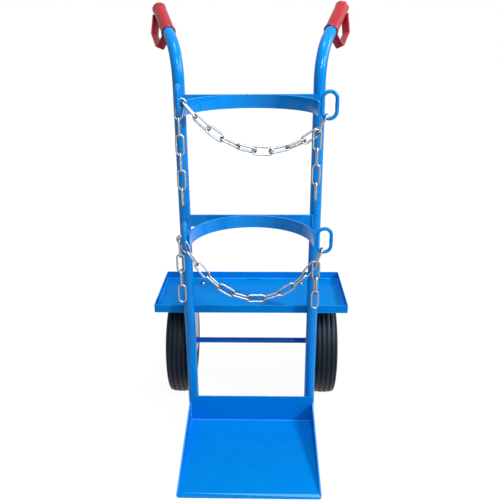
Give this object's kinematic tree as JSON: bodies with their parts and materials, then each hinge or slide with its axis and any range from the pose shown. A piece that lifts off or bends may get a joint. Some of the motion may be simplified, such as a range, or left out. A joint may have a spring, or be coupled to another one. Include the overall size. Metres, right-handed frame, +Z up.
{
  "type": "gas cylinder cart",
  "caption": "Blue tubular hand cart for oxy acetylene gas cylinders with toe plate, tool tray, chained cradles, red guarded grips and rubber tyred wheels.",
  "frame": {"origin": "middle of the ground footprint, at ground level", "axes": "+Z up, +X towards the cart's right as seen from its front, +Y from the toe plate to the wheels"},
  "size_m": [0.512, 0.6244, 1.086],
  "materials": {
    "frame_paint": "gloss",
    "plate_paint": "gloss",
    "running_gear_paint": "gloss",
    "bolt_zinc": "zinc plated",
    "grip_red": "satin",
    "tyre_rubber": "matte",
    "bush_nylon": "matte",
    "chain_zinc": "zinc plated"
  },
  "bodies": {
    "frame": {"left_upright_tube": "frame_paint", "right_upright_tube": "frame_paint", "upper_crossbar": "frame_paint", "lower_crossbar": "frame_paint", "upper_cradle_strap": "frame_paint", "lower_cradle_strap": "frame_paint", "upper_left_ring": "frame_paint", "upper_right_ring": "frame_paint", "lower_left_ring": "frame_paint", "lower_right_ring": "frame_paint", "toe_plate": "plate_paint", "tool_tray": "plate_paint", "tray_bolts": "bolt_zinc", "left_axle_bracket": "running_gear_paint", "right_axle_bracket": "running_gear_paint", "axle": "running_gear_paint", "axle_washers": "bolt_zinc", "axle_pins": "bolt_zinc", "left_grip": "grip_red", "right_grip": "grip_red"},
    "left_wheel": {"left_tyre": "tyre_rubber", "left_rim": "running_gear_paint", "left_wheel_bushes": "bush_nylon"},
    "right_wheel": {"right_tyre": "tyre_rubber", "right_rim": "running_gear_paint", "right_wheel_bushes": "bush_nylon"},
    "upper_chain_span": {"upper_chain_span": "chain_zinc"},
    "upper_left_tail_1": {"upper_left_tail_1": "chain_zinc"},
    "upper_left_tail_2": {"upper_left_tail_2": "chain_zinc"},
    "upper_left_tail_3": {"upper_left_tail_3": "chain_zinc"},
    "upper_left_tail_4": {"upper_left_tail_4": "chain_zinc"},
    "upper_left_tail_5": {"upper_left_tail_5": "chain_zinc"},
    "upper_right_tail_1": {"upper_right_tail_1": "chain_zinc"},
    "upper_right_tail_2": {"upper_right_tail_2": "chain_zinc"},
    "upper_right_tail_3": {"upper_right_tail_3": "chain_zinc"},
    "upper_right_tail_4": {"upper_right_tail_4": "chain_zinc"},
    "lower_chain_span": {"lower_chain_span": "chain_zinc"},
    "lower_left_tail_1": {"lower_left_tail_1": "chain_zinc"},
    "lower_left_tail_2": {"lower_left_tail_2": "chain_zinc"},
    "lower_left_tail_3": {"lower_left_tail_3": "chain_zinc"},
    "lower_left_tail_4": {"lower_left_tail_4": "chain_zinc"},
    "lower_right_tail_1": {"lower_right_tail_1": "chain_zinc"},
    "lower_right_tail_2": {"lower_right_tail_2": "chain_zinc"},
    "lower_right_tail_3": {"lower_right_tail_3": "chain_zinc"}
  },
  "joints": [
    {"name": "left_wheel_spin", "type": "hinge", "parent": "frame", "child": "left_wheel", "pos_m": [-0.206, 0.16225, 0.15], "axis": [1, 0, 0], "continuous": true},
    {"name": "right_wheel_spin", "type": "hinge", "parent": "frame", "child": "right_wheel", "pos_m": [0.206, 0.16225, 0.15], "axis": [1, 0, 0], "continuous": true},
    {"name": "upper_chain_swing", "type": "hinge", "parent": "frame", "child": "upper_chain_span", "pos_m": [-0.13755, -0.17775, 0.863], "axis": [0.998, 0.0505, -0.0375], "range_deg": [-0.5, 12]},
    {"name": "upper_left_tail_1_swing", "type": "hinge", "parent": "upper_chain_span", "child": "upper_left_tail_1", "pos_m": [-0.14084, -0.17792, 0.85151], "axis": [0.9987, 0.0506, 0], "range_deg": [-22, 22]},
    {"name": "upper_left_tail_2_swing", "type": "hinge", "parent": "upper_left_tail_1", "child": "upper_left_tail_2", "pos_m": [-0.13871, -0.17781, 0.81451], "axis": [-0.0506, 0.9987, 0], "range_deg": [-22, 22]},
    {"name": "upper_left_tail_3_swing", "type": "hinge", "parent": "upper_left_tail_2", "child": "upper_left_tail_3", "pos_m": [-0.13871, -0.17781, 0.77781], "axis": [-0.9987, -0.0506, 0], "range_deg": [-22, 22]},
    {"name": "upper_left_tail_4_swing", "type": "hinge", "parent": "upper_left_tail_3", "child": "upper_left_tail_4", "pos_m": [-0.13871, -0.17781, 0.74111], "axis": [0.0506, -0.9987, 0], "range_deg": [-22, 22]},
    {"name": "upper_left_tail_5_swing", "type": "hinge", "parent": "upper_left_tail_4", "child": "upper_left_tail_5", "pos_m": [-0.13871, -0.17781, 0.70441], "axis": [0.9987, 0.0506, 0], "range_deg": [-22, 22]},
    {"name": "upper_right_tail_1_swing", "type": "hinge", "parent": "upper_chain_span", "child": "upper_right_tail_1", "pos_m": [0.14459, -0.16624, 0.81984], "axis": [-0.0506, 0.9987, 0], "range_deg": [-22, 22]},
    {"name": "upper_right_tail_2_swing", "type": "hinge", "parent": "upper_right_tail_1", "child": "upper_right_tail_2", "pos_m": [0.14428, -0.16625, 0.78583], "axis": [0.9987, 0.0506, 0], "range_deg": [-22, 22]},
    {"name": "upper_right_tail_3_swing", "type": "hinge", "parent": "upper_right_tail_2", "child": "upper_right_tail_3", "pos_m": [0.14428, -0.16625, 0.74913], "axis": [0.0506, -0.9987, 0], "range_deg": [-22, 22]},
    {"name": "upper_right_tail_4_swing", "type": "hinge", "parent": "upper_right_tail_3", "child": "upper_right_tail_4", "pos_m": [0.14428, -0.16625, 0.71243], "axis": [-0.9987, -0.0506, 0], "range_deg": [-22, 22]},
    {"name": "lower_chain_swing", "type": "hinge", "parent": "frame", "child": "lower_chain_span", "pos_m": [-0.13755, -0.17775, 0.573], "axis": [0.9978, 0.0505, -0.0433], "range_deg": [-5, 12]},
    {"name": "lower_left_tail_1_swing", "type": "hinge", "parent": "lower_chain_span", "child": "lower_left_tail_1", "pos_m": [-0.15108, -0.17844, 0.5996], "axis": [0.9987, 0.0506, 0], "range_deg": [-7, 7]},
    {"name": "lower_left_tail_2_swing", "type": "hinge", "parent": "lower_left_tail_1", "child": "lower_left_tail_2", "pos_m": [-0.15006, -0.17838, 0.5518], "axis": [-0.0506, 0.9987, 0], "range_deg": [-22, 22]},
    {"name": "lower_left_tail_3_swing", "type": "hinge", "parent": "lower_left_tail_2", "child": "lower_left_tail_3", "pos_m": [-0.15006, -0.17838, 0.5151], "axis": [-0.9987, -0.0506, 0], "range_deg": [-22, 22]},
    {"name": "lower_left_tail_4_swing", "type": "hinge", "parent": "lower_left_tail_3", "child": "lower_left_tail_4", "pos_m": [-0.15006, -0.17838, 0.4784], "axis": [0.0506, -0.9987, 0], "range_deg": [-22, 22]},
    {"name": "lower_right_tail_1_swing", "type": "hinge", "parent": "lower_chain_span", "child": "lower_right_tail_1", "pos_m": [0.14856, -0.16561, 0.52695], "axis": [-0.2232, 0.9748, 0], "range_deg": [-12, 12]},
    {"name": "lower_right_tail_2_swing", "type": "hinge", "parent": "lower_right_tail_1", "child": "lower_right_tail_2", "pos_m": [0.15116, -0.16548, 0.49427], "axis": [0.9748, 0.2232, 0], "range_deg": [-18, 18]},
    {"name": "lower_right_tail_3_swing", "type": "hinge", "parent": "lower_right_tail_2", "child": "lower_right_tail_3", "pos_m": [0.15116, -0.16548, 0.45757], "axis": [0.2232, -0.9748, 0], "range_deg": [-22, 22]}
  ]
}
